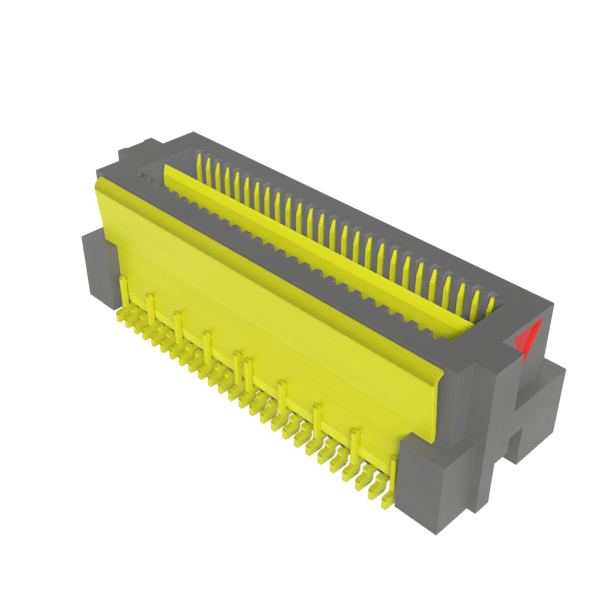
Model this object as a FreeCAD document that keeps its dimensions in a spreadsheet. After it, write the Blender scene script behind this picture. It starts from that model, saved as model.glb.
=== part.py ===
import FreeCAD
import Part
import math
import os
import types
from typing import NamedTuple, Optional

import Sketcher
from FreeCAD import Placement, Rotation, Vector

# Shielded board to board connector, female half, for surface mounting, in millimetres.
# X runs along the two contact rows, Y across them and Z up from the board.
# Z = 0 is the underside of the contact feet, and X = Y = 0 is the middle of the connector.
# The front row and the outer shield are on the -Y side. The +Y side has no outer shield.

SHEET_NAME = "Sizes"
PARTS_FOLDER = "parts"

# Driving dimensions: each has its own name and is written once.
DRIVING_SIZES = {
    # contact grid
    "pitch": 1.0,
    "contacts_per_row": 26,
    "ground_every": 3,
    # housing body and the room left under it for the feet
    "board_gap": 0.57,
    "body_length": 30.6,
    "body_width": 8.594,
    "body_height": 9.955,
    # mating cavity
    "cavity_length": 26.806,
    "cavity_width": 4.758,
    "cavity_depth": 6.455,
    # end walls that join the corner feet of the housing
    "end_inner_span": 26.284,
    "end_outer_span": 32.174,
    "end_width": 11.428,
    "end_height": 4.964,
    # slot under each end wall
    "end_slot_width": 3.52,
    "end_slot_height": 3.0,
    "end_slot_depth": 1.5,
    # polarising keys on the two end faces
    "key_span": 33.31,
    "right_key_width": 2.387,
    "right_key_offset": 1.79,
    "left_key_width": 2.98,
    "key_groove_width": 1.58,
    "key_groove_depth": 0.14,
    # position 1 mark, a sunken triangle on the right end face
    "mark_width": 2.82,
    "mark_height": 2.64,
    "mark_sink": 0.2,
    "mark_offset": 1.98,
    "mark_drop": 0.455,
    # beam slots in the two long walls of the cavity
    "slot_depth": 0.41,
    "slot_mouth_width": 0.55,
    "slot_back_width": 0.476,
    # contact stamping: foot and leg
    "contact_stock": 0.33,
    "toe_length": 0.63,
    "foot_height": 0.84,
    "toe_radius": 0.2,
    "instep_radius": 0.13,
    "heel_setback": 0.245,
    "heel_chamfer": 0.2,
    "ledge_rise": 0.247,
    "ledge_radius": 0.09,
    # contact stamping: bar through the wall, and the root that holds it
    "seat_height": 1.1,
    "bar_thickness": 0.48,
    "root_width": 1.0,
    "root_rise": 2.17,
    "barb_reach": 0.06,
    "barb_length": 0.5,
    # contact stamping: blade
    "blade_width": 0.4,
    "blade_protrusion": 0.08,
    "tip_drop": 0.235,
    "tip_taper": 0.77,
    "tip_lean": 0.2,
    "tip_thickness": 0.24,
    # contact stamping: spring tab of the ground contacts
    "tab_gap": 0.1,
    "tab_thickness": 0.36,
    "tab_rise": 2.43,
    "head_radius": 0.17,
    "head_flat": 0.3,
    "bump_drop": 0.41,
    "bump_flat": 0.06,
    "neck_drop": 0.73,
    # outer shield
    "shield_stock": 0.32,
    "shield_gap": 0.173,
    "shield_length": 29.0,
    "wing_gap": 0.09,
    "fold_rise": 0.745,
    "shield_lean": 5.1,
    "lip_drop": 0.33,
    "lip_angle": 17.1,
    "lip_radius": 0.75,
    "skirt_height": 1.01,
    "skirt_angle": 12.0,
    "rebate_depth": 0.13,
    # centre shield
    "centre_stock": 0.4,
    "centre_edge": 0.04,
    "centre_drop": 0.34,
    "centre_bevel": 0.685,
    "centre_end_gap": 0.153,
    "centre_seat": 1.5,
    # clearances
    "contact_clearance": 0.02,
    "shield_clearance": 0.03,
    "bump_clearance": 0.01,
}


class Size:
    """A length or angle that knows its value and the sheet formula that gives it."""

    def __init__(self, value, text):
        self.value = float(value)
        self.text = text

    def __add__(self, other):
        other = as_size(other)
        return Size(self.value + other.value, f"({self.text} + {other.text})")

    def __sub__(self, other):
        other = as_size(other)
        return Size(self.value - other.value, f"({self.text} - {other.text})")

    def __mul__(self, other):
        other = as_size(other)
        return Size(self.value * other.value, f"({self.text} * {other.text})")

    def __truediv__(self, other):
        other = as_size(other)
        return Size(self.value / other.value, f"({self.text} / {other.text})")

    def __neg__(self):
        return Size(-self.value, f"(-1 * {self.text})")


def as_size(number):
    """Return a plain number as a Size, and a Size as it is."""
    if isinstance(number, Size):
        return number
    return Size(number, f"({number})")


def sine(angle):
    """Sine of a Size in degrees."""
    return Size(math.sin(math.radians(angle.value)), f"sin({angle.text})")


def cosine(angle):
    """Cosine of a Size in degrees."""
    return Size(math.cos(math.radians(angle.value)), f"cos({angle.text})")


def tangent(angle):
    """Tangent of a Size in degrees."""
    return Size(math.tan(math.radians(angle.value)), f"tan({angle.text})")


class Corner(NamedTuple):
    """A corner of an outline, in sketch coordinates, rounded where it has a radius."""

    x: Size
    y: Size
    radius: Optional[Size] = None


def make_sheet(doc):
    """Write the driving dimensions into the sheet and return them as named sizes."""
    sheet = doc.addObject("Spreadsheet::Sheet", SHEET_NAME)
    named = {}
    for row, (alias, value) in enumerate(DRIVING_SIZES.items(), start=1):
        sheet.set(f"A{row}", alias.replace("_", " "))
        sheet.set(f"B{row}", str(value))
        sheet.setAlias(f"B{row}", alias)
        named[alias] = Size(value, f"{SHEET_NAME}.{alias}")
    doc.recompute()
    return types.SimpleNamespace(**named)


def work_out_levels(size):
    """Return the heights and distances that several pieces share.

    Heights are above the board. Distances are from the middle plane Y = 0, outwards.
    """
    level = types.SimpleNamespace()
    level.top = size.board_gap + size.body_height
    level.floor = level.top - size.cavity_depth
    level.end_top = size.board_gap + size.end_height
    level.wall_face = size.body_width / 2
    level.cavity_face = size.cavity_width / 2
    level.end_inner = size.end_inner_span / 2
    # outer shield
    level.shield_inner = level.wall_face + size.shield_gap
    level.shield_outer = level.shield_inner + size.shield_stock
    level.shield_edge = size.seat_height + size.shield_clearance
    level.skirt_top = level.shield_edge + size.skirt_height
    # contact
    level.tab_back = level.shield_outer + size.tab_gap
    level.leg_front = level.tab_back + size.tab_thickness
    level.toe = level.leg_front + size.toe_length
    level.heel = level.tab_back - size.heel_setback
    level.bar_low = size.seat_height - size.bar_thickness
    level.blade_face = level.cavity_face - size.blade_protrusion
    level.blade_back = level.blade_face + size.blade_width
    level.root_back = level.blade_face + size.root_width
    level.root_top = size.seat_height + size.root_rise
    level.tip_top = level.top - size.tip_drop
    return level


def origin_plane(body, role):
    """Return the plane of the body's own origin that has the given role."""
    for feature in body.Origin.OriginFeatures:
        if feature.Role == role:
            return feature
    raise LookupError(role)


def make_body(doc, label):
    """Add an empty body whose label names its file."""
    body = doc.addObject("PartDesign::Body", label)
    body.Label = label
    return body


def make_sketch(body, name, role, offset=None):
    """Add a sketch on an origin plane of the body, moved along its normal by offset."""
    sketch = body.newObject("Sketcher::SketchObject", name)
    sketch.AttachmentSupport = [(origin_plane(body, role), "")]
    sketch.MapMode = "FlatFace"
    if offset is not None:
        sketch.AttachmentOffset = Placement(Vector(0, 0, offset.value), Rotation())
        sketch.setExpression("AttachmentOffset.Base.z", offset.text)
    return sketch


def bind(sketch, constraint, size):
    """Add a constraint that has a value and tie the value to its formula."""
    index = sketch.addConstraint(constraint)
    sketch.setExpression(f"Constraints[{index}]", size.text)


def place_point(sketch, geometry, end, corner):
    """Hold a point of the sketch at the corner's two coordinates."""
    bind(sketch, Sketcher.Constraint("DistanceX", -1, 1, geometry, end, corner.x.value), corner.x)
    if corner.y.value == 0.0:
        sketch.addConstraint(Sketcher.Constraint("PointOnObject", geometry, end, -1))
    else:
        bind(sketch, Sketcher.Constraint("DistanceY", -1, 1, geometry, end, corner.y.value), corner.y)


def draw_outline(sketch, corners):
    """Draw a closed outline of lines and tangent arcs, fully held by its corners."""
    points = [Vector(corner.x.value, corner.y.value, 0) for corner in corners]
    count = len(points)
    arrives = []
    leaves = []
    centres = []
    for number, corner in enumerate(corners):
        point = points[number]
        way_in = (point - points[number - 1]).normalize()
        way_out = (points[(number + 1) % count] - point).normalize()
        if corner.radius is None:
            arrives.append(point)
            leaves.append(point)
            centres.append(None)
            continue
        turn = way_in.getAngle(way_out)
        reach = corner.radius.value * math.tan(turn / 2)
        side = math.copysign(1.0, way_in.cross(way_out).z)
        arrives.append(point - way_in * reach)
        leaves.append(point + way_out * reach)
        centres.append(arrives[-1] + Vector(-way_in.y, way_in.x, 0) * side * corner.radius.value)

    lines = []
    for number in range(count):
        segment = Part.LineSegment(leaves[number], arrives[(number + 1) % count])
        lines.append(sketch.addGeometry(segment))
    for number, corner in enumerate(corners):
        before = lines[number - 1]
        after = lines[number]
        if corner.radius is None:
            sketch.addConstraint(Sketcher.Constraint("Coincident", before, 2, after, 1))
            place_point(sketch, after, 1, corner)
            continue
        centre = centres[number]
        start = arrives[number] - centre
        finish = leaves[number] - centre
        turns_left = start.cross(finish).z > 0
        first = start if turns_left else finish
        last = finish if turns_left else start
        circle = Part.Circle(centre, Vector(0, 0, 1), corner.radius.value)
        first_angle = math.atan2(first.y, first.x)
        last_angle = math.atan2(last.y, last.x)
        if last_angle < first_angle:
            last_angle += 2 * math.pi
        arc = sketch.addGeometry(Part.ArcOfCircle(circle, first_angle, last_angle))
        arc_in = 1 if turns_left else 2
        arc_out = 2 if turns_left else 1
        peg = sketch.addGeometry(Part.Point(points[number]), True)
        place_point(sketch, peg, 1, corner)
        sketch.addConstraint(Sketcher.Constraint("PointOnObject", peg, 1, before))
        sketch.addConstraint(Sketcher.Constraint("PointOnObject", peg, 1, after))
        sketch.addConstraint(Sketcher.Constraint("Tangent", before, 2, arc, arc_in))
        sketch.addConstraint(Sketcher.Constraint("Tangent", arc, arc_out, after, 1))
        bind(sketch, Sketcher.Constraint("Radius", arc, corner.radius.value), corner.radius)


def draw_box(sketch, low_x, high_x, low_y, high_y):
    """Draw a rectangle between four limits."""
    draw_outline(
        sketch,
        [
            Corner(low_x, low_y),
            Corner(high_x, low_y),
            Corner(high_x, high_y),
            Corner(low_x, high_y),
        ],
    )


def set_length(feature, length, symmetric):
    """Tie the depth of a pad or pocket to its formula."""
    feature.Length = length.value
    feature.setExpression("Length", length.text)
    if symmetric:
        feature.SideType = "Symmetric"


def pad(body, sketch, name, length, symmetric=False):
    """Raise a sketch along its normal, or to both sides of its plane."""
    feature = body.newObject("PartDesign::Pad", name)
    feature.Profile = sketch
    set_length(feature, length, symmetric)
    return feature


def pocket(body, sketch, name, depth, symmetric=False, upwards=False):
    """Cut a sketch against its normal, along it, or to both sides of its plane."""
    feature = body.newObject("PartDesign::Pocket", name)
    feature.Profile = sketch
    feature.Reversed = upwards
    set_length(feature, depth, symmetric)
    return feature


def repeat_along_row(body, feature, name, size):
    """Repeat a feature of the first position at every position of the row."""
    pattern = body.newObject("PartDesign::LinearPattern", name)
    pattern.Originals = [feature]
    pattern.Direction = (origin_plane(body, "X_Axis"), [""])
    pattern.Mode = "Spacing"
    pattern.Offset = size.pitch.value
    pattern.setExpression("Offset", size.pitch.text)
    pattern.Occurrences = int(size.contacts_per_row.value)
    pattern.setExpression("Occurrences", size.contacts_per_row.text)
    body.Tip = pattern
    return pattern


def position_x(size, number):
    """X of a contact position, counted from 1 at the left end."""
    return size.pitch * (as_size(number) - (size.contacts_per_row + 1) / 2)


def draw_end_boxes(sketch, inner_span, outer_span, width):
    """Draw the same rectangle at both ends, between two spans along X."""
    half = width / 2
    draw_box(sketch, inner_span / 2, outer_span / 2, -half, half)
    draw_box(sketch, -outer_span / 2, -inner_span / 2, -half, half)


def add_housing_block(body, size, level):
    """Raise the moulding: body, end walls with their feet, and the two keys."""
    core = make_sketch(body, "core_plan", "XY_Plane", size.board_gap)
    half_length = size.body_length / 2
    draw_box(core, -half_length, half_length, -level.wall_face, level.wall_face)
    pad(body, core, "core", size.body_height)

    ends = make_sketch(body, "end_wall_plan", "XY_Plane", size.board_gap)
    draw_end_boxes(ends, size.end_inner_span, size.end_outer_span, size.end_width)
    pad(body, ends, "end_walls", size.end_height)

    keys = make_sketch(body, "key_plan", "XY_Plane", size.board_gap)
    reach = size.key_span / 2
    right_half = size.right_key_width / 2
    left_half = size.left_key_width / 2
    root = half_length - size.end_slot_depth / 2
    draw_box(keys, root, reach, -size.right_key_offset - right_half, right_half - size.right_key_offset)
    draw_box(keys, -reach, -root, -left_half, left_half)
    pad(body, keys, "keys", size.body_height)


def cut_housing_ends(body, size, level):
    """Cut the slots under the end walls, the groove of the left key and the mark."""
    under = make_sketch(body, "end_slot_plan", "XY_Plane", size.board_gap)
    slot_inner_span = size.end_outer_span - size.end_slot_depth * 2
    slot_outer_span = size.key_span + size.end_slot_depth
    draw_end_boxes(under, slot_inner_span, slot_outer_span, size.end_slot_width)
    pocket(body, under, "end_slots", size.end_slot_height, upwards=True)

    groove = make_sketch(body, "key_groove_plan", "XY_Plane", level.top)
    face = -size.key_span / 2
    groove_half = size.key_groove_width / 2
    draw_box(groove, face - size.key_groove_depth, face + size.key_groove_depth, -groove_half, groove_half)
    pocket(body, groove, "key_groove", size.body_height)

    mark = make_sketch(body, "mark_outline", "YZ_Plane", size.body_length / 2)
    mark_top = level.top - size.mark_drop
    draw_outline(
        mark,
        [
            Corner(size.mark_offset - size.mark_width / 2, mark_top),
            Corner(size.mark_offset, mark_top - size.mark_height),
            Corner(size.mark_offset + size.mark_width / 2, mark_top),
        ],
    )
    pocket(body, mark, "position_mark", size.mark_sink)


def cut_shield_seats(body, size, level):
    """Cut the rebate behind the skirt, with a ledge below it, and the seat of the centre shield."""
    rebate = make_sketch(body, "rebate_plan", "XY_Plane", size.seat_height)
    rebate_face = level.wall_face - size.rebate_depth
    beyond = level.wall_face + size.rebate_depth
    draw_box(rebate, -level.end_inner, level.end_inner, -beyond, -rebate_face)
    rebate_top = level.skirt_top + size.shield_stock
    pocket(body, rebate, "skirt_rebate", rebate_top - size.seat_height, upwards=True)

    seat = make_sketch(body, "centre_seat_plan", "XY_Plane", level.floor)
    half_length = size.cavity_length / 2 - size.centre_end_gap + size.shield_clearance
    half_width = size.centre_stock / 2 + size.shield_clearance
    draw_box(seat, -half_length, half_length, -half_width, half_width)
    pocket(body, seat, "centre_seat", size.centre_seat)


def beam_slot_corners(size, level, middle, side):
    """Outline of one flared beam slot in plan, on the side of Y that is given as 1 or -1."""
    mouth = size.slot_mouth_width / 2
    back = size.slot_back_width / 2
    inner = (level.blade_face - size.contact_clearance * 2) * side
    face = level.cavity_face * side
    rear = (level.cavity_face + size.slot_depth) * side
    return [
        Corner(middle - mouth, inner),
        Corner(middle + mouth, inner),
        Corner(middle + mouth, face),
        Corner(middle + back, rear),
        Corner(middle - back, rear),
        Corner(middle - mouth, face),
    ]


def channel_corners(size, level, side):
    """Outline of the channel that one contact is pushed into from below, seen along X."""
    gap = size.contact_clearance
    below = size.board_gap - size.bar_thickness
    inner = (level.blade_face - gap) * side
    root_side = (level.root_back + size.barb_reach + gap) * side
    outside = (level.wall_face + size.rebate_depth) * side
    return [
        Corner(inner, below),
        Corner(outside, below),
        Corner(outside, size.seat_height + gap),
        Corner(root_side, size.seat_height + gap),
        Corner(root_side, level.root_top + gap),
        Corner(inner, level.root_top + gap),
    ]


def cut_contact_places(body, size, level):
    """Cut the cavity, and at each position the beam slots and the channels below them."""
    cavity = make_sketch(body, "cavity_plan", "XY_Plane", level.top)
    half_length = size.cavity_length / 2
    draw_box(cavity, -half_length, half_length, -level.cavity_face, level.cavity_face)
    pocket(body, cavity, "mating_cavity", size.cavity_depth)

    first = position_x(size, 1)
    slots = make_sketch(body, "beam_slot_plan", "XY_Plane", level.top)
    for side in (-1, 1):
        draw_outline(slots, beam_slot_corners(size, level, first, side))
    slot_bottom = level.root_top - size.slot_depth / 2
    first_slots = pocket(body, slots, "first_beam_slots", level.top - slot_bottom)
    repeat_along_row(body, first_slots, "beam_slots", size)

    channels = make_sketch(body, "channel_outline", "YZ_Plane", first)
    for side in (-1, 1):
        draw_outline(channels, channel_corners(size, level, side))
    channel_width = size.contact_stock + size.contact_clearance * 2
    first_channels = pocket(body, channels, "first_channels", channel_width, symmetric=True)
    repeat_along_row(body, first_channels, "channels", size)


def make_housing(doc, size, level):
    """Build the moulded housing."""
    body = make_body(doc, "housing")
    add_housing_block(body, size, level)
    cut_housing_ends(body, size, level)
    cut_shield_seats(body, size, level)
    cut_contact_places(body, size, level)
    return body


def foot_corners(size, level):
    """Foot of a contact, from the toe's underside to the front of the leg."""
    return [
        Corner(-level.toe, as_size(0)),
        Corner(-level.toe, size.foot_height, size.toe_radius),
        Corner(-level.leg_front, size.foot_height, size.instep_radius),
    ]


def ledge_corners(size, level):
    """Top of a signal contact's leg, a short ledge in front of the shield's edge."""
    ledge_top = size.seat_height + size.ledge_rise
    return [
        Corner(-level.leg_front, ledge_top, size.ledge_radius),
        Corner(-level.tab_back, ledge_top),
    ]


def tab_corners(size, level):
    """Top of a ground contact's leg, a spring tab whose nose bears on the shield."""
    tab_top = size.seat_height + size.tab_rise
    nose = level.shield_outer + size.bump_clearance
    return [
        Corner(-level.leg_front, tab_top, size.head_radius),
        Corner(size.head_flat - level.leg_front, tab_top),
        Corner(-nose, tab_top - size.bump_drop),
        Corner(-nose, tab_top - size.bump_drop - size.bump_flat),
        Corner(-level.tab_back, tab_top - size.neck_drop),
    ]


def hidden_corners(size, level):
    """Rest of a contact: seat for the shield, bar, barbed root, blade and heel."""
    barb_low = level.root_top - size.barb_length * 2
    barb_face = level.root_back + size.barb_reach
    tip_front = level.blade_face + size.tip_lean
    return [
        Corner(-level.tab_back, size.seat_height),
        Corner(-level.root_back, size.seat_height),
        Corner(-level.root_back, barb_low),
        Corner(-barb_face, barb_low + size.barb_reach),
        Corner(-level.root_back, barb_low + size.barb_length),
        Corner(-level.root_back, level.root_top),
        Corner(-level.blade_back, level.root_top),
        Corner(-level.blade_back, level.tip_top),
        Corner(-tip_front, level.tip_top),
        Corner(-level.blade_face, level.tip_top - size.tip_taper),
        Corner(-level.blade_face, level.bar_low),
        Corner(-level.heel, level.bar_low),
        Corner(-level.heel, size.heel_chamfer),
        Corner(-level.heel - size.heel_chamfer, as_size(0)),
    ]


def make_contact(doc, label, upper_corners, size, level):
    """Stamp one contact of the front row and coin both sides of its tip."""
    body = make_body(doc, label)
    profile = make_sketch(body, f"{label}_profile", "YZ_Plane")
    draw_outline(profile, foot_corners(size, level) + upper_corners + hidden_corners(size, level))
    pad(body, profile, f"{label}_blank", size.contact_stock, symmetric=True)

    coining = make_sketch(body, f"{label}_coining", "XZ_Plane")
    half_stock = size.contact_stock / 2
    half_tip = size.tip_thickness / 2
    shoulder = level.tip_top - size.tip_taper
    above = level.tip_top + size.tip_drop
    for side in (-1, 1):
        draw_outline(
            coining,
            [
                Corner(half_stock * side, shoulder),
                Corner(size.contact_stock * side, shoulder),
                Corner(size.contact_stock * side, above),
                Corner(half_tip * side, above),
                Corner(half_tip * side, level.tip_top),
            ],
        )
    pocket(body, coining, f"{label}_coined_tip", size.body_width, symmetric=True)
    return body


def make_copy(doc, label, source):
    """Add a body that is the same stamping as another one."""
    body = make_body(doc, label)
    clone = doc.addObject("PartDesign::FeatureBase", f"{label}_clone")
    clone.BaseFeature = source
    body.Group = [clone]
    body.Tip = clone
    return body


def is_ground(number, count, every):
    """Tell whether a position holds a ground contact, counting from the nearer end."""
    from_end = min(number, count + 1 - number)
    return (from_end - 1) % every == 0


def place_contact(body, size, number, turned):
    """Set a contact at its position, turned round in the back row."""
    x = position_x(size, number)
    turn = Rotation(Vector(0, 0, 1), 180 if turned else 0)
    body.Placement = Placement(Vector(x.value, 0, 0), turn)
    body.setExpression("Placement.Base.x", x.text)


def make_contacts(doc, size, level):
    """Make both rows of contacts, each stamping drawn once.

    The spring tab is only on the ground contacts beside the outer shield.
    """
    count = int(size.contacts_per_row.value)
    every = int(size.ground_every.value)
    uppers = {"tabbed": tab_corners(size, level), "plain": ledge_corners(size, level)}
    masters = {}
    contacts = []
    for row, turned in (("front", False), ("back", True)):
        for number in range(1, count + 1):
            kind = "ground" if is_ground(number, count, every) else "signal"
            label = f"{kind}_contact_{row}_{number:02d}"
            stamping = "tabbed" if kind == "ground" and row == "front" else "plain"
            if stamping in masters:
                body = make_copy(doc, label, masters[stamping])
            else:
                body = make_contact(doc, label, uppers[stamping], size, level)
                masters[stamping] = body
            contacts.append((body, number, turned))
    doc.recompute()
    for body, number, turned in contacts:
        place_contact(body, size, number, turned)
    return [body for body, _, _ in contacts]


def unit_way(angle):
    """Direction of a plate that leans outwards from upright, as outward and up parts."""
    return sine(angle), cosine(angle)


def inner_corner(outward, height, lower, upper, stock):
    """Corner on the inner face of a bent plate.

    The outer corner is at (outward, height), and lower and upper are the directions of the
    plate below and above the bend. Both faces stay one stock apart.
    """
    lower_out, lower_up = lower
    upper_out, upper_up = upper
    # The inner side of an upward direction (out, up) is (-up, out).
    agreement = lower_up * upper_up + lower_out * upper_out
    scale = stock / (agreement + 1)
    return outward - (lower_up + upper_up) * scale, height + (lower_out + upper_out) * scale


def wing_corners(size, level):
    """Profile of the shield above the end walls: upright strip, leaning face and lip."""
    stock = size.shield_stock
    low = level.end_top + size.wing_gap
    fold = level.end_top + size.fold_rise
    upright = unit_way(as_size(0))
    leaning = unit_way(size.shield_lean)
    lip_way = unit_way(size.lip_angle - 90)
    lip_z = level.top - size.lip_drop
    lip_out = level.shield_outer + (lip_z - fold) * tangent(size.shield_lean)
    fold_in, fold_in_z = inner_corner(level.shield_outer, fold, upright, leaning, stock)
    bend_in, bend_in_z = inner_corner(lip_out, lip_z, leaning, lip_way, stock)
    tip_in = level.wall_face + size.shield_clearance
    tip_out = tip_in + sine(size.lip_angle) * stock
    tip_out_z = lip_z + (lip_out - tip_out) * tangent(size.lip_angle)
    tip_in_z = tip_out_z - cosine(size.lip_angle) * stock
    return [
        Corner(-level.shield_outer, low),
        Corner(-level.shield_outer, fold),
        Corner(-lip_out, lip_z, size.lip_radius),
        Corner(-tip_out, tip_out_z),
        Corner(-tip_in, tip_in_z),
        Corner(-bend_in, bend_in_z, size.lip_radius - stock),
        Corner(-fold_in, fold_in_z),
        Corner(-level.shield_inner, low),
    ]


def skirt_corners(size, level):
    """Profile of the shield between the feet: upright, with its foot bent inwards."""
    stock = size.shield_stock
    high = level.end_top + size.fold_rise / 2
    bent_way = unit_way(size.skirt_angle)
    upright = unit_way(as_size(0))
    drop = (level.skirt_top - level.shield_edge) * tangent(size.skirt_angle)
    bend_in, bend_in_z = inner_corner(level.shield_outer, level.skirt_top, bent_way, upright, stock)
    edge_in = bend_in - (bend_in_z - level.shield_edge) * tangent(size.skirt_angle)
    return [
        Corner(drop - level.shield_outer, level.shield_edge),
        Corner(-level.shield_outer, level.skirt_top),
        Corner(-level.shield_outer, high),
        Corner(-level.shield_inner, high),
        Corner(-bend_in, bend_in_z),
        Corner(-edge_in, level.shield_edge),
    ]


def make_front_shield(doc, size, level):
    """Build the outer shield: wings above the end walls, and a skirt between them."""
    body = make_body(doc, "front_shield")
    wing = make_sketch(body, "wing_profile", "YZ_Plane")
    draw_outline(wing, wing_corners(size, level))
    pad(body, wing, "wing", size.shield_length, symmetric=True)
    skirt = make_sketch(body, "skirt_profile", "YZ_Plane")
    draw_outline(skirt, skirt_corners(size, level))
    skirt_length = size.end_inner_span - size.shield_clearance * 2
    pad(body, skirt, "skirt", skirt_length, symmetric=True)
    return body


def make_centre_shield(doc, size, level):
    """Build the plate along the middle of the cavity, bevelled to both sides on top."""
    body = make_body(doc, "centre_shield")
    profile = make_sketch(body, "centre_profile", "YZ_Plane")
    half = size.centre_stock / 2
    edge = size.centre_edge / 2
    top = level.top - size.centre_drop
    crease = top - size.centre_bevel
    bottom = level.floor - size.centre_seat + size.shield_clearance
    draw_outline(
        profile,
        [
            Corner(-half, bottom),
            Corner(half, bottom),
            Corner(half, crease),
            Corner(edge, top),
            Corner(-edge, top),
            Corner(-half, crease),
        ],
    )
    length = size.cavity_length - size.centre_end_gap * 2
    pad(body, profile, "centre_plate", length, symmetric=True)
    return body


def check_document(doc):
    """Stop unless every object came out sound and every pocket took something away."""
    for item in doc.Objects:
        if "Invalid" in item.State or "Error" in item.State:
            raise RuntimeError(f"{item.Label} failed: {item.State}")
        if item.TypeId == "Sketcher::SketchObject" and not item.FullyConstrained:
            raise RuntimeError(f"{item.Label} is not fully constrained")
        if item.TypeId == "PartDesign::Pocket" and item.Shape.Volume >= item.BaseFeature.Shape.Volume:
            raise RuntimeError(f"{item.Label} cuts nothing")


def export_parts(bodies):
    """Check each piece as one sound solid and write it to its own file."""
    os.makedirs(PARTS_FOLDER, exist_ok=True)
    for body in bodies:
        shape = body.Shape
        if shape.isNull() or not shape.isValid() or len(shape.Solids) != 1:
            raise RuntimeError(f"{body.Label} is not one valid solid")
    for body in bodies:
        body.Shape.exportStep(os.path.join(PARTS_FOLDER, f"{body.Label}.step"))


def main():
    """Build the connector and write its pieces."""
    doc = FreeCAD.newDocument("board_to_board_connector")
    size = make_sheet(doc)
    level = work_out_levels(size)
    bodies = [
        make_housing(doc, size, level),
        make_centre_shield(doc, size, level),
        make_front_shield(doc, size, level),
    ]
    bodies += make_contacts(doc, size, level)
    doc.recompute()
    check_document(doc)
    export_parts(bodies)
    print(f"{len(bodies)} pieces written")


main()
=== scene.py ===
"""Looks of a shielded board to board connector.

The construction model gives every piece its shape and place. This script gives each piece its
finish, softens the edges as moulding and stamping leave them, fills the position 1 mark with
paint and sets up the studio. Lengths are in metres: one given in millimetres is times MM.
X runs along the contact rows, Y across them and Z up from the board.
"""

from __future__ import annotations

import logging
import math
from dataclasses import dataclass, field
from enum import Enum
from typing import Any

import bpy
import numpy as np
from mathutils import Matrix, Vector


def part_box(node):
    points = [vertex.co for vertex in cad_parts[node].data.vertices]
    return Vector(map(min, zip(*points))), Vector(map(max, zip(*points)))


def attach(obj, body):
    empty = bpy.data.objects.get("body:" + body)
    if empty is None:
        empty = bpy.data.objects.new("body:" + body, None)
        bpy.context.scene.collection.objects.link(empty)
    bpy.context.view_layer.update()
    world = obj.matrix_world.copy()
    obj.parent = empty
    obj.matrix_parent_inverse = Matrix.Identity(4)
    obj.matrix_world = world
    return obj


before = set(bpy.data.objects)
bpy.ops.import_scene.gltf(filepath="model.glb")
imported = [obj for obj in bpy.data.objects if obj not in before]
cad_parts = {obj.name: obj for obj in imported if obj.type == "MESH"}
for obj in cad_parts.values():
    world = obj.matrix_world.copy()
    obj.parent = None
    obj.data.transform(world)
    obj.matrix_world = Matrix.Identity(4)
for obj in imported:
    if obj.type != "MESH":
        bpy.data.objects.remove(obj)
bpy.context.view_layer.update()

MM = 0.001
ROOT_BODY = "root"
LOG = logging.getLogger("connector")

Colour = tuple[float, float, float]
WHITE: Colour = (1.0, 1.0, 1.0)


class Axis(Enum):
    """The direction that a sheet was rolled in, as a stretch of the pattern along X, Y and Z."""

    ALONG_X = (0.06, 1.0, 1.0)
    ALONG_Z = (1.0, 1.0, 0.08)


def rgba(colour: Colour) -> tuple[float, float, float, float]:
    """Return an opaque colour with its alpha."""
    return (*colour, 1.0)


def shade(colour: Colour, factor: float) -> Colour:
    """Return the colour made lighter or darker by a factor."""
    red, green, blue = (min(1.0, part * factor) for part in colour)
    return red, green, blue


def direction(azimuth: float, elevation: float) -> Vector:
    """Return the unit vector that points from the object towards a lamp or the camera.

    Args:
        azimuth: the turn from -Y towards +X, in degrees.
        elevation: the height above the horizon, in degrees.

    Returns:
        The sine of the turn along X, less its cosine along Y, both times the cosine of the
        elevation, and the sine of the elevation along Z.
    """
    turn, rise = math.radians(azimuth), math.radians(elevation)
    return Vector((math.sin(turn) * math.cos(rise), -math.cos(turn) * math.cos(rise), math.sin(rise)))


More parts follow.
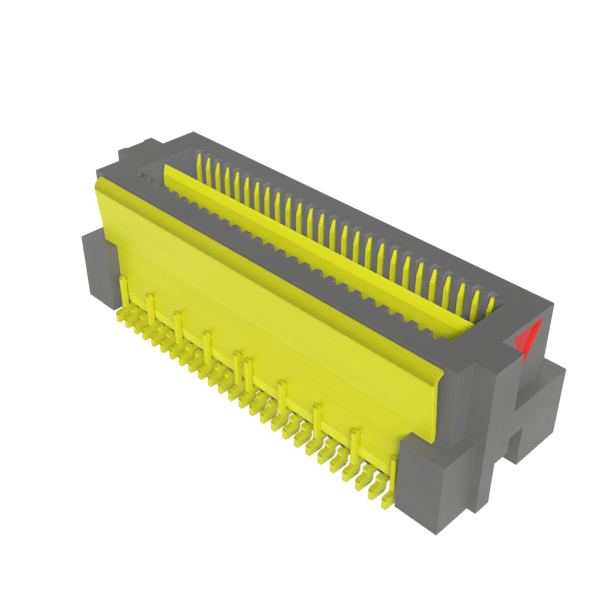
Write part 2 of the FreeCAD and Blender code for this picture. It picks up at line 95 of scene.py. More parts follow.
class Graph:
    """A node tree that is filled by short calls."""

    def __init__(self, tree: bpy.types.NodeTree) -> None:
        """Keep the tree and empty it.

        Args:
            tree: the node tree of a material, a world or a group.
        """
        self.tree = tree
        self.tree.nodes.clear()

    def add(self, kind: str, inputs: dict[Any, Any] | None = None, **settings: Any) -> bpy.types.Node:
        """Add a node.

        Args:
            kind: the node's type.
            inputs: values or sockets for the node's inputs, by name or number.
            settings: the node's own properties.

        Returns:
            The new node.
        """
        node = self.tree.nodes.new(kind)
        for name, value in settings.items():
            setattr(node, name, value)
        for name, value in (inputs or {}).items():
            self.feed(node.inputs[name], value)
        return node

    def feed(self, socket: bpy.types.NodeSocket, value: Any) -> None:
        """Link a socket into an input, or set the input's own value.

        Args:
            socket: the input.
            value: an output socket, a number, a vector or a colour.
        """
        if isinstance(value, bpy.types.NodeSocket):
            self.tree.links.new(value, socket)
        else:
            socket.default_value = value

    def math(self, operation: str, first: Any, second: Any = 0.0) -> bpy.types.NodeSocket:
        """Return the result of a math node.

        Args:
            operation: the name of the operation, such as MULTIPLY.
            first: the first number or socket.
            second: the second number or socket.

        Returns:
            The result's socket.
        """
        return self.add("ShaderNodeMath", {0: first, 1: second}, operation=operation).outputs[0]

    def remap(
        self, value: Any, low: float, high: float, to_low: float = 0.0, to_high: float = 1.0
    ) -> bpy.types.NodeSocket:
        """Return a value mapped from one range to another, held within the new one.

        Args:
            value: the socket that is mapped.
            low: the start of the old range.
            high: the end of the old range.
            to_low: the start of the new range.
            to_high: the end of the new range.

        Returns:
            The result's socket.
        """
        numbers = {"Value": value, "From Min": low, "From Max": high, "To Min": to_low, "To Max": to_high}
        return self.add("ShaderNodeMapRange", numbers).outputs[0]

    def noise(self, vector: Any, scale: Any, detail: float, **more: float) -> bpy.types.NodeSocket:
        """Return noise, from 0 to 1.

        Args:
            vector: the socket of the place.
            scale: how fine the noise is.
            detail: how many finer layers it has.
            more: the noise's other inputs, by name.

        Returns:
            The noise's socket.
        """
        numbers = {"Vector": vector, "Scale": scale, "Detail": detail, **more}
        return self.add("ShaderNodeTexNoise", numbers).outputs[0]

    def blend(self, factor: Any, first: Any, second: Any) -> bpy.types.NodeSocket:
        """Return a mix of two colours.

        Args:
            factor: the share of the second colour.
            first: the first colour or socket.
            second: the second colour or socket.

        Returns:
            The mixed colour's socket.
        """
        node = self.add("ShaderNodeMix", data_type="RGBA")
        self.feed(node.inputs[0], factor)
        self.feed(node.inputs[6], first)
        self.feed(node.inputs[7], second)
        return node.outputs[2]

    def place(self) -> bpy.types.NodeSocket:
        """Return the socket of the piece's own coordinates, in metres."""
        return self.add("ShaderNodeTexCoord").outputs["Object"]


@dataclass(frozen=True)
class Port:
    """A named socket of a node group.

    Attributes:
        name: the socket's name.
        kind: the socket's type.
        value: the default of an input.
    """

    name: str
    kind: str = "NodeSocketFloat"
    value: float | None = None


VECTOR_PORT = Port("Vector", "NodeSocketVector")


class Effect:
    """A shader node group that several finishes share, built once."""

    title: str = ""
    takes: tuple[Port, ...] = ()
    gives: tuple[Port, ...] = ()

    def fill(self, graph: Graph, start: bpy.types.Node) -> dict[str, bpy.types.NodeSocket]:
        """Build the effect's nodes.

        Args:
            graph: the group's tree.
            start: the node that holds the group's inputs.

        Returns:
            The socket for each of the group's outputs, by name.
        """
        raise NotImplementedError

    def tree(self) -> bpy.types.NodeTree:
        """Return the group's tree, made at the first call."""
        known = bpy.data.node_groups.get(self.title)
        if known is not None:
            return known
        tree = bpy.data.node_groups.new(self.title, "ShaderNodeTree")
        for port in self.takes:
            socket = tree.interface.new_socket(port.name, in_out="INPUT", socket_type=port.kind)
            if port.value is not None:
                socket.default_value = port.value
        for port in self.gives:
            tree.interface.new_socket(port.name, in_out="OUTPUT", socket_type=port.kind)
        graph = Graph(tree)
        start = graph.add("NodeGroupInput")
        made = self.fill(graph, start)
        graph.add("NodeGroupOutput", made)
        return tree

    def use(self, graph: Graph, **values: Any) -> bpy.types.Node:
        """Place the group in a material.

        Args:
            graph: the material's tree.
            values: numbers or sockets for the group's inputs, with _ for a space.

        Returns:
            The group node.
        """
        node = graph.add("ShaderNodeGroup", node_tree=self.tree())
        for name, value in values.items():
            graph.feed(node.inputs[name.replace("_", " ")], value)
        return node


class MouldedGrain(Effect):
    """The fine grain of a mould's wall and the pale swirls that the flowing plastic leaves."""

    title = "Moulded grain"
    takes = (VECTOR_PORT, Port("Grain Scale", value=9000.0), Port("Flow Scale", value=220.0))
    gives = (Port("Height"), Port("Tone"))

    def fill(self, graph: Graph, start: bpy.types.Node) -> dict[str, bpy.types.NodeSocket]:
        """Height is noise at the grain's scale; tone is slow noise, pulled out of shape."""
        vector = start.outputs["Vector"]
        grain = graph.noise(vector, start.outputs["Grain Scale"], 3.0)
        drawn_along_x = (0.45, 1.0, 1.0)
        flow = graph.add("ShaderNodeVectorMath", {0: vector, 1: drawn_along_x}, operation="MULTIPLY")
        swirl = graph.noise(flow.outputs[0], start.outputs["Flow Scale"], 5.0, Roughness=0.62, Distortion=1.4)
        return {"Height": grain, "Tone": graph.remap(swirl, 0.3, 0.7)}


class ShadeAndLightMasks(Effect):
    """Masks for painted shade on the rim's upward faces and painted light in the cavity and slots."""

    title = "Shade and light masks"
    takes = (
        VECTOR_PORT,
        Port("Rim Height", value=8.0 * MM),
        Port("Core Reach", value=13.45 * MM),
        Port("Core Half", value=2.9 * MM),
        Port("Wall Half", value=2.4 * MM),
    )
    gives = (Port("Rim"), Port("Core"), Port("Slots"))

    def fill(self, graph: Graph, start: bpy.types.Node) -> dict[str, bpy.types.NodeSocket]:
        """Work the masks out from the place and from how far the surface faces up.

        Rim is 1 where the face looks up, above the rim's height. Core is 1 on the upright faces
        of the cavity, within its reach along X and half its width along Y. Slots is core beyond
        the cavity's long walls.
        """
        geometry = graph.add("ShaderNodeNewGeometry")
        facing = graph.add("ShaderNodeSeparateXYZ", {0: geometry.outputs["True Normal"]}).outputs["Z"]
        place = graph.add("ShaderNodeSeparateXYZ", {0: start.outputs["Vector"]})
        high = graph.math("GREATER_THAN", place.outputs["Z"], start.outputs["Rim Height"])
        level = graph.remap(facing, 0.5, 0.95)
        from_centre = graph.math("ABSOLUTE", place.outputs["X"])
        along = graph.math("LESS_THAN", from_centre, start.outputs["Core Reach"])
        from_middle = graph.math("ABSOLUTE", place.outputs["Y"])
        across = graph.math("LESS_THAN", from_middle, start.outputs["Core Half"])
        inside = graph.math("MULTIPLY", along, across)
        upright = graph.math("SUBTRACT", 1.0, level)
        core = graph.math("MULTIPLY", inside, upright)
        beyond = graph.math("GREATER_THAN", from_middle, start.outputs["Wall Half"])
        slots = graph.math("MULTIPLY", core, beyond)
        return {"Rim": graph.math("MULTIPLY", high, level), "Core": core, "Slots": slots}


class RolledSheet(Effect):
    """The fine lines that rolling leaves along a sheet of metal, under its plating."""

    title = "Rolled sheet"
    takes = (VECTOR_PORT, Port("Stretch", "NodeSocketVector"), Port("Line Scale", value=12000.0))
    gives = (Port("Height"), Port("Tone"))

    def fill(self, graph: Graph, start: bpy.types.Node) -> dict[str, bpy.types.NodeSocket]:
        """Both outputs are noise that is drawn out along the rolling direction."""
        drawn = graph.add(
            "ShaderNodeVectorMath",
            {0: start.outputs["Vector"], 1: start.outputs["Stretch"]},
            operation="MULTIPLY",
        )
        lines = graph.noise(drawn.outputs[0], start.outputs["Line Scale"], 2.0)
        band_scale = graph.math("MULTIPLY", start.outputs["Line Scale"], 0.12)
        bands = graph.noise(drawn.outputs[0], band_scale, 4.0)
        return {"Height": lines, "Tone": graph.remap(bands, 0.32, 0.68)}


class EdgeRubAndHighlight(Effect):
    """Painted highlight, with some rub, as a narrow lighter line along the outward edges."""

    title = "Edge rub and highlight"
    takes = (VECTOR_PORT, Port("Radius", value=0.05 * MM), Port("Break Scale", value=1500.0))
    gives = (Port("Mask"),)

    def fill(self, graph: Graph, start: bpy.types.Node) -> dict[str, bpy.types.NodeSocket]:
        """The mask is how far the rounded normal turns from the true one, broken up by noise."""
        rounded = graph.add("ShaderNodeBevel", {"Radius": start.outputs["Radius"]}, samples=6)
        true = graph.add("ShaderNodeNewGeometry")
        agreement = graph.add(
            "ShaderNodeVectorMath",
            {0: rounded.outputs[0], 1: true.outputs["True Normal"]},
            operation="DOT_PRODUCT",
        )
        turned = graph.math("SUBTRACT", 1.0, agreement.outputs["Value"])
        edge = graph.remap(turned, 0.02, 0.22)
        patches = graph.noise(start.outputs["Vector"], start.outputs["Break Scale"], 3.0)
        kept = graph.remap(patches, 0.35, 0.65, 0.35, 1.0)
        return {"Mask": graph.math("MULTIPLY", edge, kept)}


class HandlingHaze(Effect):
    """The uneven sheen of a surface that has been handled."""

    title = "Handling haze"
    takes = (VECTOR_PORT, Port("Patch Scale", value=260.0))
    gives = (Port("Haze"),)

    def fill(self, graph: Graph, start: bpy.types.Node) -> dict[str, bpy.types.NodeSocket]:
        """The haze is slow noise, stretched to fill 0 to 1."""
        patches = graph.noise(start.outputs["Vector"], start.outputs["Patch Scale"], 4.0)
        return {"Haze": graph.remap(patches, 0.3, 0.7)}


class TiltShadeAndLight(Effect):
    """Painted shade over the crown of a bend and painted light where the sheet leans out."""

    title = "Tilt shade and light"
    takes = (VECTOR_PORT, Port("Low", value=0.0), Port("High", value=1.0), Port("Blur", value=0.02 * MM))
    gives = (Port("Painted Shade"), Port("Bright"))

    def fill(self, graph: Graph, start: bpy.types.Node) -> dict[str, bpy.types.NodeSocket]:
        """Work both masks out from the height and from how far the surface faces up.

        Dull is 0 on an upright face. It is 1 just past upright, fades to 0.6 on a level one,
        and counts only between the two heights. Bright grows as the face leans out, and is 0
        again on an underside.
        """
        geometry = graph.add("ShaderNodeNewGeometry")
        facing = graph.add("ShaderNodeSeparateXYZ", {0: geometry.outputs["True Normal"]}).outputs["Z"]
        place = graph.add("ShaderNodeSeparateXYZ", {0: start.outputs["Vector"]}).outputs["Z"]
        over_low = graph.math("SUBTRACT", place, start.outputs["Low"])
        under_high = graph.math("SUBTRACT", start.outputs["High"], place)
        above = graph.remap(graph.math("DIVIDE", over_low, start.outputs["Blur"]), 0.0, 1.0)
        below = graph.remap(graph.math("DIVIDE", under_high, start.outputs["Blur"]), 0.0, 1.0)
        within = graph.math("MULTIPLY", above, below)
        past_upright = graph.remap(facing, 0.01, 0.1)
        fading = graph.remap(facing, 0.3, 0.96, 1.0, 0.6)
        crown = graph.math("MULTIPLY", past_upright, fading)
        leaning_light = graph.remap(facing, -0.06, -0.2)
        not_under = graph.remap(facing, -0.6, -0.3)
        painted_light = graph.math("MULTIPLY", leaning_light, not_under)
        return {"Painted Shade": graph.math("MULTIPLY", crown, within), "Bright": painted_light}


class ShearedFace(Effect):
    """The cut faces of a stamping, painted lighter as painted light, and the torn band on them."""

    title = "Sheared face"
    takes = (
        VECTOR_PORT,
        Port("Pitch", value=1.0 * MM),
        Port("Stock", value=0.33 * MM),
        Port("Break Scale", value=5000.0),
    )
    gives = (Port("Cut"), Port("Torn"))

    def fill(self, graph: Graph, start: bpy.types.Node) -> dict[str, bpy.types.NodeSocket]:
        """Cut is where the surface doesn't face along X; torn is the cut beyond half the stock."""
        split = graph.add("ShaderNodeSeparateXYZ", {0: start.outputs["Vector"]})
        turns = graph.math("DIVIDE", split.outputs["X"], start.outputs["Pitch"])
        from_middle = graph.math("SUBTRACT", graph.math("FRACT", turns), 0.5)
        stocks_a_pitch = graph.math("DIVIDE", start.outputs["Pitch"], start.outputs["Stock"])
        across = graph.math("MULTIPLY", from_middle, stocks_a_pitch)
        ragged = graph.noise(start.outputs["Vector"], start.outputs["Break Scale"], 2.0)
        ragged_line = graph.math("ADD", across, graph.remap(ragged, 0.3, 0.7, -0.09, 0.09))
        geometry = graph.add("ShaderNodeNewGeometry")
        facing = graph.add("ShaderNodeSeparateXYZ", {0: geometry.outputs["True Normal"]})
        sideways = graph.math("ABSOLUTE", facing.outputs["X"])
        cut = graph.remap(sideways, 0.4, 0.6, 1.0, 0.0)
        torn = graph.remap(ragged_line, 0.02, 0.1)
        return {"Cut": cut, "Torn": graph.math("MULTIPLY", torn, cut)}


def new_material(name: str) -> tuple[bpy.types.Material, Graph]:
    """Add an empty node material.

    Args:
        name: the material's name.

    Returns:
        The material and the graph of its tree.
    """
    material = bpy.data.materials.new(name)
    material.use_nodes = True
    return material, Graph(material.node_tree)


def finish_surface(graph: Graph, sockets: dict[str, Any], height: Any, bump: float) -> None:
    """End a material with its Principled BSDF and bump.

    Args:
        graph: the material's tree.
        sockets: values or sockets for the shader's inputs.
        height: the socket of the relief, from 0 to 1.
        bump: the depth of the relief.
    """
    relief = graph.add("ShaderNodeBump", {"Height": height, "Distance": bump, "Strength": 1.0})
    shader = graph.add("ShaderNodeBsdfPrincipled", {**sockets, "Normal": relief.outputs[0]})
    graph.add("ShaderNodeOutputMaterial", {"Surface": shader.outputs[0]})


@dataclass(frozen=True)
class MouldedPlastic:
    """Grey high-temperature plastic, glass filled, from a finely eroded mould.

    Attributes:
        colour: the body colour.
        tone_range: how much darker and lighter the flow swirls are.
        rim_tone: how much darker the upward faces of the mating rim are painted, as painted shade.
        core: the cavity walls' colour, painted light: paler, and cooler against the metal's yellow light.
        slots: the colour inside the beam slots, painted paler still as painted light.
        rub_and_highlight: how much lighter the edges are painted, as painted highlight with some rub.
        rub_and_highlight_share: how much of that shows where the edge mask is full.
        gloss: the roughness where the surface is smoothest.
        haze: how much rougher the haziest patches are.
        specular: the strength of the sheen.
        grain_depth: the depth of the grain.
    """

    colour: Colour = (0.138, 0.138, 0.136)
    tone_range: tuple[float, float] = (0.93, 1.06)
    rim_tone: float = 0.64
    core: Colour = (0.150, 0.150, 0.168)
    slots: Colour = (0.180, 0.180, 0.197)
    rub_and_highlight: float = 1.32
    rub_and_highlight_share: float = 0.7
    gloss: float = 0.44
    haze: float = 0.14
    specular: float = 0.26
    grain_depth: float = 0.0022 * MM

    def material(self) -> bpy.types.Material:
        """Return the finish as a new material."""
        made, graph = new_material("Moulded plastic")
        place = graph.place()
        grain = MouldedGrain().use(graph, Vector=place)
        haze = HandlingHaze().use(graph, Vector=place)
        rub_and_highlight = EdgeRubAndHighlight().use(graph, Vector=place)
        dark, light = (rgba(shade(self.colour, factor)) for factor in self.tone_range)
        body = graph.blend(grain.outputs["Tone"], dark, light)
        shade_and_light = ShadeAndLightMasks().use(graph, Vector=place)
        # Painted shade: the upward faces of the rim are darkened.
        body = graph.blend(shade_and_light.outputs["Rim"], body, rgba(shade(self.colour, self.rim_tone)))
        # Painted light: the cavity's walls and the slots are made paler, and cooler against the metal's
        # yellow light.
        body = graph.blend(shade_and_light.outputs["Core"], body, rgba(self.core))
        body = graph.blend(shade_and_light.outputs["Slots"], body, rgba(self.slots))
        # Painted highlight, with some rub, along the edges.
        edge = rgba(shade(self.colour, self.rub_and_highlight))
        colour = graph.blend(graph.math("MULTIPLY", rub_and_highlight.outputs["Mask"], self.rub_and_highlight_share), body, edge)
        rough = graph.remap(haze.outputs["Haze"], 0.0, 1.0, self.gloss, self.gloss + self.haze)
        sockets = {"Base Color": colour, "Roughness": rough, "Specular IOR Level": self.specular}
        finish_surface(graph, sockets, grain.outputs["Height"], self.grain_depth)
        return made


@dataclass(frozen=True)
class PlatedMetal:
    """Stamped copper alloy with a lemon-yellow satin plating.

    Attributes:
        name: the material's name.
        colour: the plating's colour.
        rolled: the direction of the rolling lines.
        line_scale: how fine the rolling lines are.
        tone_range: how much darker and lighter the bands of the sheet are.
        metallic: how metallic the satin plating looks.
        specular: the strength of the sheen of the rest.
        gloss: the roughness where the plating is smoothest.
        haze: how much rougher the haziest patches are.
        rub_and_highlight: how much lighter the edges are painted, as painted highlight with some rub.
        rub_and_highlight_share: how much of that shows where the edge mask is full.
        rub_and_highlight_reach: how far from an edge the painted highlight and rub start.
        line_depth: the depth of the rolling lines.
        shaded_bends: the lowest and highest place of the bends that get painted shade.
        pitch: the spacing of stampings that repeat along X, or 0 where the piece is one sheet.
        stock: the thickness of the stock.
        cut_face_light: how much lighter the cut faces of such a stamping are painted, as painted light.
        torn_tone: how much darker their torn bands are.
        torn_share: how much of that shows.
        torn_haze: how much rougher the torn bands are.
        painted_shade_tone: how much darker the painted shade over the bends is.
        leaning_light: the paler colour painted where the sheet leans out, as painted light.
    """

    name: str
    colour: Colour = (0.645, 0.650, 0.016)
    rolled: Axis = Axis.ALONG_X
    line_scale: float = 9000.0
    tone_range: tuple[float, float] = (0.955, 1.03)
    metallic: float = 0.15
    specular: float = 0.35
    gloss: float = 0.30
    haze: float = 0.10
    rub_and_highlight: float = 1.12
    rub_and_highlight_share: float = 0.8
    rub_and_highlight_reach: float = 0.035 * MM
    line_depth: float = 0.0009 * MM
    shaded_bends: tuple[float, float] = (0.0, 0.0)
    pitch: float = 0.0
    stock: float = 0.32 * MM
    cut_face_light: float = 1.25
    torn_tone: float = 0.72
    torn_share: float = 0.25
    torn_haze: float = 0.14
    painted_shade_tone: float = 0.5
    leaning_light: Colour = (0.93, 0.935, 0.066)

    def material(self) -> bpy.types.Material:
        """Return the finish as a new material."""
        made, graph = new_material(self.name)
        place = graph.place()
        sheet = RolledSheet().use(graph, Vector=place, Stretch=self.rolled.value, Line_Scale=self.line_scale)
        haze = HandlingHaze().use(graph, Vector=place)
        rub_and_highlight = EdgeRubAndHighlight().use(graph, Vector=place, Radius=self.rub_and_highlight_reach)
        dark, light = (rgba(shade(self.colour, factor)) for factor in self.tone_range)
        colour = graph.blend(sheet.outputs["Tone"], dark, light)
        rough = graph.remap(haze.outputs["Haze"], 0.0, 1.0, self.gloss, self.gloss + self.haze)
        if self.pitch > 0.0:
            sheared = ShearedFace().use(graph, Vector=place, Pitch=self.pitch, Stock=self.stock)
            # Painted light on the cut faces, which don't face along X.
            colour = graph.blend(sheared.outputs["Cut"], colour, rgba(shade(self.colour, self.cut_face_light)))
            torn = sheared.outputs["Torn"]
            torn_mask = graph.math("MULTIPLY", torn, self.torn_share)
            colour = graph.blend(torn_mask, colour, rgba(shade(self.colour, self.torn_tone)))
            rough = graph.math("ADD", rough, graph.math("MULTIPLY", torn, self.torn_haze))
        # Painted highlight, with some rub, along the edges.
        rub_and_highlight_colour = rgba(shade(self.colour, self.rub_and_highlight))
        colour = graph.blend(graph.math("MULTIPLY", rub_and_highlight.outputs["Mask"], self.rub_and_highlight_share), colour, rub_and_highlight_colour)
        # Painted shade over the crown of the bends, painted light where the sheet leans out.
        tilt_shading = TiltShadeAndLight().use(graph, Vector=place, Low=self.shaded_bends[0], High=self.shaded_bends[1])
        colour = graph.blend(tilt_shading.outputs["Bright"], colour, rgba(self.leaning_light))
        colour = graph.blend(tilt_shading.outputs["Painted Shade"], colour, rgba(shade(self.colour, self.painted_shade_tone)))
        sockets = {
            "Base Color": colour,
            "Roughness": rough,
            "Metallic": self.metallic,
            "Specular IOR Level": self.specular,
            "Specular Tint": rgba(self.colour),
        }
        finish_surface(graph, sockets, sheet.outputs["Height"], self.line_depth)
        return made


@dataclass(frozen=True)
class MarkPaint:
    """Red paint, run into the sunken mark.

    Attributes:
        colour: the paint's colour.
        tone_range: how much darker it is where it lies thick and lighter where it is thin.
        patch_scale: how fine its thick and thin patches are.
        gloss: the roughness of the dry paint where it is smoothest.
        haze: how much rougher the haziest patches are.
        specular: the strength of the sheen.
        orange_peel: the depth of its uneven surface.
    """

    colour: Colour = (0.56, 0.024, 0.018)
    tone_range: tuple[float, float] = (0.92, 1.06)
    patch_scale: float = 900.0
    gloss: float = 0.34
    haze: float = 0.1
    specular: float = 0.15
    orange_peel: float = 0.003 * MM

    def material(self) -> bpy.types.Material:
        """Return the finish as a new material."""
        made, graph = new_material("Mark paint")
        place = graph.place()
        haze = HandlingHaze().use(graph, Vector=place, Patch_Scale=self.patch_scale)
        thick, thin = (rgba(shade(self.colour, factor)) for factor in self.tone_range)
        colour = graph.blend(haze.outputs["Haze"], thin, thick)
        rough = graph.remap(haze.outputs["Haze"], 0.0, 1.0, self.gloss, self.gloss + self.haze)
        sockets = {"Base Color": colour, "Roughness": rough, "Specular IOR Level": self.specular}
        finish_surface(graph, sockets, haze.outputs["Haze"], self.orange_peel)
        return made


@dataclass(frozen=True)
class EdgeSoftening:
    """The small round that a mould or a punch leaves on every edge.

    Each width stays below what the piece's finest step leaves room for, so that no face collapses.

    Attributes:
        width: how far the round reaches from the edge.
        segments: how many faces it has.
        smallest_turn: the smallest turn that counts as an edge, in degrees.
        flattest_turn: the largest turn that still counts as one flat face, in degrees.
        join_distance: how near two corners are joined.
        face_weight: how much the large faces count in the shading of the round, in percent.
    """

    width: float
    segments: int = 2
    smallest_turn: float = 28.0
    flattest_turn: float = 0.5
    join_distance: float = 1e-7
    face_weight: int = 90

    def soften(self, piece: bpy.types.Object) -> None:
        """Add the modifiers that join the loose triangles into whole faces and round the edges.

        Args:
            piece: the object that gets them.
        """
        weld = piece.modifiers.new("Joined corners", "WELD")
        weld.merge_threshold = self.join_distance
        whole = piece.modifiers.new("Whole faces", "DECIMATE")
        whole.decimate_type = "DISSOLVE"
        whole.angle_limit = math.radians(self.flattest_turn)
        bevel = piece.modifiers.new("Soft edges", "BEVEL")
        bevel.width = self.width
        bevel.segments = self.segments
        bevel.limit_method = "ANGLE"
        bevel.angle_limit = math.radians(self.smallest_turn)
        bevel.miter_outer = "MITER_ARC"
        bevel.use_clamp_overlap = True
        bevel.harden_normals = False
        even = piece.modifiers.new("Flat faces", "WEIGHTED_NORMAL")
        even.weight = self.face_weight
        even.keep_sharp = False


def dress(node: str, material: bpy.types.Material, softening: EdgeSoftening) -> None:
    """Give a node of the construction model its material and soft edges.

    Args:
        node: the node's name.
        material: the finish.
        softening: the round on its edges.
    """
    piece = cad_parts[node]
    if not piece.data.materials:
        piece.data.materials.append(material)
    for slot in piece.material_slots:
        slot.material = material
    softening.soften(piece)
    LOG.info("%s: %s", node, material.name)


def closed_mesh(name: str, rings: np.ndarray, poles: np.ndarray) -> bpy.types.Mesh:
    """Make a closed mesh from rings of points, with a pole before the first and after the last.

    Args:
        name: the mesh's name.
        rings: points as an array of rings, points round a ring, and x, y, z.
        poles: the two poles.

    Returns:
        The mesh, with its faces pointing outwards.
    """
    count, around, _ = rings.shape
    points = np.concatenate([rings.reshape(-1, 3), poles])
    row = np.arange(count - 1)[:, None] * around
    here = np.arange(around)[None, :]
    beside = (here + 1) % around
    quads = np.stack([row + here, row + beside, row + around + beside, row + around + here], axis=-1)
    quads = quads.reshape(-1, 4)
    first = np.stack([np.full(around, count * around), beside[0], here[0]], axis=-1)
    start = (count - 1) * around
    last = np.stack([np.full(around, count * around + 1), start + here[0], start + beside[0]], axis=-1)
    triangles = np.concatenate([quads[:, [0, 1, 2]], quads[:, [0, 2, 3]], first, last])
    corners = points[triangles]
    volume = np.einsum("ij,ij->i", corners[:, 0], np.cross(corners[:, 1], corners[:, 2])).sum()
    faces = [*quads.tolist(), *first.tolist(), *last.tolist()]
    if volume < 0.0:
        faces = [face[::-1] for face in faces]
    mesh = bpy.data.meshes.new(name)
    mesh.from_pydata(points.tolist(), [], faces)
    mesh.validate()
    mesh.polygons.foreach_set("use_smooth", np.ones(len(mesh.polygons), dtype=bool))
    return mesh


@dataclass
class Housing:
    """The moulded housing.

    Attributes:
        node: its name in the construction model.
        finish: its plastic.
        softening: the round on its edges.
    """

    node: str = "housing"
    finish: MouldedPlastic = field(default_factory=MouldedPlastic)
    softening: EdgeSoftening = field(default_factory=lambda: EdgeSoftening(0.0095 * MM))

    def build(self) -> None:
        """Dress the moulding."""
        dress(self.node, self.finish.material(), self.softening)


@dataclass
class PositionMark:
    """The film of paint in the sunken triangle that marks position 1.

    Attributes:
        face_x: where the end face of the housing is.
        middle_y: the middle of the triangle across the rows.
        top_drop: how far its upper edge is below the top of the housing.
        width: the triangle's width along its upper edge.
        height: the triangle's height.
        sink: the depth of the recess.
        film: the thickness of the paint.
        shy: how far the film stays off the plastic.
        rim: how far the film ends below the end face.
        fillet: the round where the paint pools along the floor's edges.
        lip_share: how much of the film's thickness its bevelled lip takes.
        flat_reach: where the flat of the floor starts, as a multiple of the fillet.
        steps: points along one side of the triangle.
        fillet_steps: points along the fillet.
        finish: its paint.
    """

    face_x: float = 15.3 * MM
    middle_y: float = 1.98 * MM
    top_drop: float = 0.455 * MM
    width: float = 2.82 * MM
    height: float = 2.64 * MM
    sink: float = 0.2 * MM
    film: float = 0.014 * MM
    shy: float = 0.002 * MM
    rim: float = 0.012 * MM
    fillet: float = 0.045 * MM
    lip_share: float = 0.35
    flat_reach: float = 4.0
    steps: int = 28
    fillet_steps: int = 7
    finish: MarkPaint = field(default_factory=MarkPaint)

    def outline(self) -> np.ndarray:
        """Return the triangle's outline in the Y Z plane.

        Each point is the mix of a side's two ends, by its even share of the way along the side.
        """
        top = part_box("housing")[1].z - self.top_drop
        corners = np.array(
            [
                [self.middle_y - self.width / 2, top],
                [self.middle_y, top - self.height],
                [self.middle_y + self.width / 2, top],
            ]
        )
        share = np.arange(self.steps)[None, :, None] / self.steps
        following = np.roll(corners, -1, axis=0)
        sides = corners[:, None, :] * (1 - share) + following[:, None, :] * share
        return sides.reshape(-1, 2)

    def inscribed(self, corners: np.ndarray) -> tuple[np.ndarray, float]:
        """Return the centre and the radius of the triangle's inscribed circle.

        The centre is the mean of the corners weighted by the opposite sides, and the radius is
        twice the area over the sum of the sides.

        Args:
            corners: the triangle's corners.

        Returns:
            The centre and the radius.
        """
        sides = np.linalg.norm(np.roll(corners, -1, axis=0) - np.roll(corners, 1, axis=0), axis=1)
        centre = (corners * sides[:, None]).sum(axis=0) / sides.sum()
        radius = self.width * self.height / sides.sum()
        return centre, radius

    def section(self) -> np.ndarray:
        """Return the film's section as rows of distance from the wall and depth below the face.

        It runs from the middle of the floor, over the fillet, up the wall, over the rim and
        down behind the film to the middle again. The fillet is a quarter circle.
        """
        floor = self.sink - self.shy - self.film
        face = self.shy + self.film
        turn = np.linspace(0.0, math.pi / 2, self.fillet_steps)
        fillet_off = face + self.fillet * (1 - np.sin(turn))
        fillet_deep = floor - self.fillet * (1 - np.cos(turn))
        lip = self.film * self.lip_share
        front = np.stack([fillet_off, fillet_deep], axis=-1)
        edge = np.array(
            [
                [face, self.rim + lip],
                [face - lip, self.rim],
                [self.shy, self.rim],
                [self.shy, self.sink - self.shy],
                [self.shy + self.fillet, self.sink - self.shy],
            ]
        )
        flat = np.array([[self.fillet * self.flat_reach, floor]])
        return np.concatenate([flat, front, edge])

    def build(self) -> None:
        """Make the film as rings that shrink towards the centre of the inscribed circle.

        A ring is the outline scaled about that centre by one less its distance from the wall
        over the circle's radius, at its depth below the end face.
        """
        outline = self.outline()
        centre, radius = self.inscribed(outline[:: self.steps])
        section = self.section()
        scale = 1 - section[:, 0] / radius
        flat = centre + scale[:, None, None] * (outline[None] - centre)
        depth = np.broadcast_to(section[:, 1, None, None], (*flat.shape[:2], 1))
        rings = np.concatenate([self.face_x - depth, flat], axis=-1)
        floor_x = self.face_x - section[0, 1]
        back_x = self.face_x - section[-1, 1]
        poles = np.array([[floor_x, *centre], [back_x, *centre]])
        mesh = closed_mesh("position_mark_paint", rings, poles)
        mesh.materials.append(self.finish.material())
        piece = bpy.data.objects.new("position_mark_paint", mesh)
        bpy.context.scene.collection.objects.link(piece)
        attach(piece, ROOT_BODY)
        LOG.info("position_mark_paint: %d faces", len(mesh.polygons))


@dataclass
class Shields:
    """The outer shield, bent from sheet, and the flat centre shield.

    Attributes:
        outer: the outer shield's name in the construction model.
        centre: the centre shield's name.
        lip_height: how far the outer shield's lip reaches below its top.
        outer_edges: the round on the outer shield's edges.
        centre_edges: the round on the centre shield's edges.
    """

    outer: str = "front_shield"
    centre: str = "centre_shield"
    lip_height: float = 0.9 * MM
    outer_edges: EdgeSoftening = field(default_factory=lambda: EdgeSoftening(0.025 * MM, smallest_turn=3.5))
    centre_edges: EdgeSoftening = field(default_factory=lambda: EdgeSoftening(0.018 * MM, smallest_turn=3.5))

    def build(self) -> None:
        """Dress the shields, the outer one with painted shade over its lip."""
        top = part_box(self.outer)[1].z
        bent = PlatedMetal("Outer shield plating", shaded_bends=(top - self.lip_height, top + MM))
        # The centre shield's plating is painted lighter than the outer one's, as painted light against the
        # cavity's shade.
        flat = PlatedMetal("Centre shield plating", colour=(0.74, 0.745, 0.018))
        dress(self.outer, bent.material(), self.outer_edges)
        dress(self.centre, flat.material(), self.centre_edges)


@dataclass
class ContactRow:
    """One row of stamped contacts.

    Attributes:
        row: the word for the row in the nodes' names.
        material: the plating that both rows share.
        softening: the round on the stampings' edges.
    """

    row: str
    material: bpy.types.Material
    softening: EdgeSoftening = field(default_factory=lambda: EdgeSoftening(0.012 * MM, smallest_turn=10.0))

    def build(self) -> None:
        """Dress every contact of the row."""
        for node in sorted(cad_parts):
            if f"_contact_{self.row}_" in node:
                dress(node, self.material, self.softening)


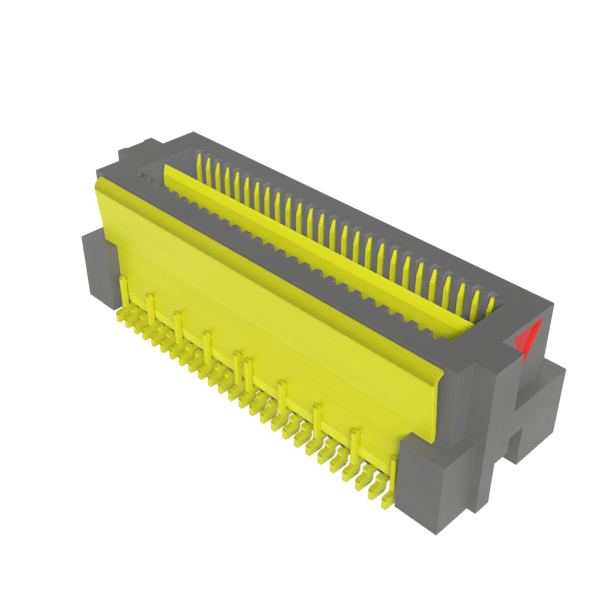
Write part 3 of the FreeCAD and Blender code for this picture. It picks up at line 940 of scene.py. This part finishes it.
@dataclass(frozen=True)
class SunLamp:
    """A soft distant lamp, which glossy surfaces don't mirror: they mirror the surroundings alone.

    Attributes:
        name: its name.
        azimuth: its direction seen from the object, in degrees from -Y towards +X.
        elevation: its height above the horizon, in degrees.
        strength: its irradiance over pi, so that 1 shows a colour as it is written.
        spread: the angle that it fills, in degrees.
    """

    name: str
    azimuth: float
    elevation: float
    strength: float
    spread: float

    def build(self) -> None:
        """Add the lamp, turned so that it shines on the object."""
        light = bpy.data.lights.new(self.name, "SUN")
        light.energy = self.strength * math.pi
        light.angle = math.radians(self.spread)
        lamp = bpy.data.objects.new(self.name, light)
        towards = direction(self.azimuth, self.elevation)
        lamp.visible_glossy = False
        lamp.rotation_euler = towards.to_track_quat("Z", "Y").to_euler()
        bpy.context.scene.collection.objects.link(lamp)


@dataclass
class Studio:
    """White floor and surroundings, level lamps and the camera of the photograph.

    Attributes:
        floor_reach: half the floor's side.
        floor_share: the grey of the floor itself.
        floor_glow: what is added where the floor is looked at, so that it shows as white.
        surroundings: the brightness of the surroundings on matt surfaces.
        lamps: the lamps.
        target_height: the height that the camera looks at, over the middle of the connector.
        camera_distance: how far the camera is from that point.
        camera_azimuth: its direction, in degrees from -Y towards +X.
        camera_elevation: its height above the horizon, in degrees.
        focal_share: the focal length over the width of the picture.
        sensor: the width of the camera's sensor, in millimetres.
    """

    floor_reach: float = 0.9
    floor_share: float = 0.2
    floor_glow: float = 0.86
    surroundings: float = 0.08
    lamps: tuple[SunLamp, ...] = (
        SunLamp("Main lamp", 45.0, 35.3, 0.72, 12.0),
        SunLamp("Left lamp", 27.0, 39.0, 0.39, 20.0),
        SunLamp("Right lamp", 60.0, 31.0, 0.31, 20.0),
        SunLamp("Low lamp", 75.0, 5.0, 0.27, 40.0),
        SunLamp("Back lamp", 225.0, 8.0, 0.65, 60.0),
    )
    target_height: float = 5.231 * MM
    camera_distance: float = 61.036 * MM
    camera_azimuth: float = 45.0
    camera_elevation: float = 35.264
    focal_share: float = 948.81 / 600.0
    sensor: float = 36.0

    def looked_at(self, graph: Graph) -> bpy.types.NodeSocket:
        """Return 1 for rays from the camera, a reflection or clear material, and 0 for the rest.

        Args:
            graph: the tree of the floor's material or of the world.

        Returns:
            The socket of that number.
        """
        path = graph.add("ShaderNodeLightPath")
        camera_or_gloss = graph.math("MAXIMUM", path.outputs["Is Camera Ray"], path.outputs["Is Glossy Ray"])
        return graph.math("MAXIMUM", camera_or_gloss, path.outputs["Is Transmission Ray"])

    def build_floor(self) -> None:
        """Lay the floor and let it show as white, with the object's shadow on it."""
        reach = self.floor_reach
        corners = [(-reach, -reach, 0), (reach, -reach, 0), (reach, reach, 0), (-reach, reach, 0)]
        mesh = bpy.data.meshes.new("studio_floor")
        mesh.from_pydata(corners, [], [(0, 1, 2, 3)])
        material, graph = new_material("Studio floor")
        matt = graph.add("ShaderNodeBsdfDiffuse", {"Color": rgba(shade(WHITE, self.floor_share))})
        strength = graph.math("MULTIPLY", self.looked_at(graph), self.floor_glow)
        glow = graph.add("ShaderNodeEmission", {"Strength": strength})
        both = graph.add("ShaderNodeAddShader", {0: matt.outputs[0], 1: glow.outputs[0]})
        graph.add("ShaderNodeOutputMaterial", {"Surface": both.outputs[0]})
        mesh.materials.append(material)
        floor = bpy.data.objects.new("studio_floor", mesh)
        bpy.context.scene.collection.objects.link(floor)

    def build_surroundings(self) -> None:
        """Light the scene evenly, white to the camera and softer on matt surfaces."""
        world = bpy.data.worlds.new("Studio")
        world.use_nodes = True
        graph = Graph(world.node_tree)
        seen = self.looked_at(graph)
        soft = graph.add("ShaderNodeBackground", {"Color": rgba(WHITE), "Strength": self.surroundings})
        white = graph.add("ShaderNodeBackground", {"Color": rgba(WHITE), "Strength": 1.0})
        mixed = graph.add("ShaderNodeMixShader", {0: seen, 1: soft.outputs[0], 2: white.outputs[0]})
        graph.add("ShaderNodeOutputWorld", {"Surface": mixed.outputs[0]})
        bpy.context.scene.world = world

    def build_camera(self) -> None:
        """Set the camera at the photograph's viewing angle."""
        lens = bpy.data.cameras.new("Camera")
        lens.sensor_width = self.sensor
        lens.lens = self.focal_share * self.sensor
        lens.clip_start = 1.0 * MM
        lens.clip_end = 10.0
        camera = bpy.data.objects.new("Camera", lens)
        back = direction(self.camera_azimuth, self.camera_elevation)
        camera.location = Vector((0.0, 0.0, self.target_height)) + back * self.camera_distance
        camera.rotation_euler = back.to_track_quat("Z", "Y").to_euler()
        bpy.context.scene.collection.objects.link(camera)
        bpy.context.scene.camera = camera

    def build(self) -> None:
        """Build the studio and set how the picture is shown."""
        self.build_floor()
        self.build_surroundings()
        for lamp in self.lamps:
            lamp.build()
        self.build_camera()
        bpy.context.scene.view_settings.view_transform = "Standard"


def main() -> None:
    """Build the connector's looks piece by piece."""
    logging.basicConfig(level=logging.INFO, format="%(name)s: %(message)s")
    Housing().build()
    PositionMark().build()
    Shields().build()
    contact_finish = PlatedMetal(
        "Contact plating",
        colour=(0.575, 0.58, 0.016),
        rolled=Axis.ALONG_Z,
        # Painted shade over the contacts' bends below 6 mm, painted light where they lean out.
        shaded_bends=(-MM, 6.0 * MM),
        pitch=1.0 * MM,
        stock=0.33 * MM,
        leaning_light=(0.75, 0.755, 0.03),
    )
    plating = contact_finish.material()
    for row in ("front", "back"):
        ContactRow(row, plating).build()
    Studio().build()


if __name__ == "__main__":
    main()
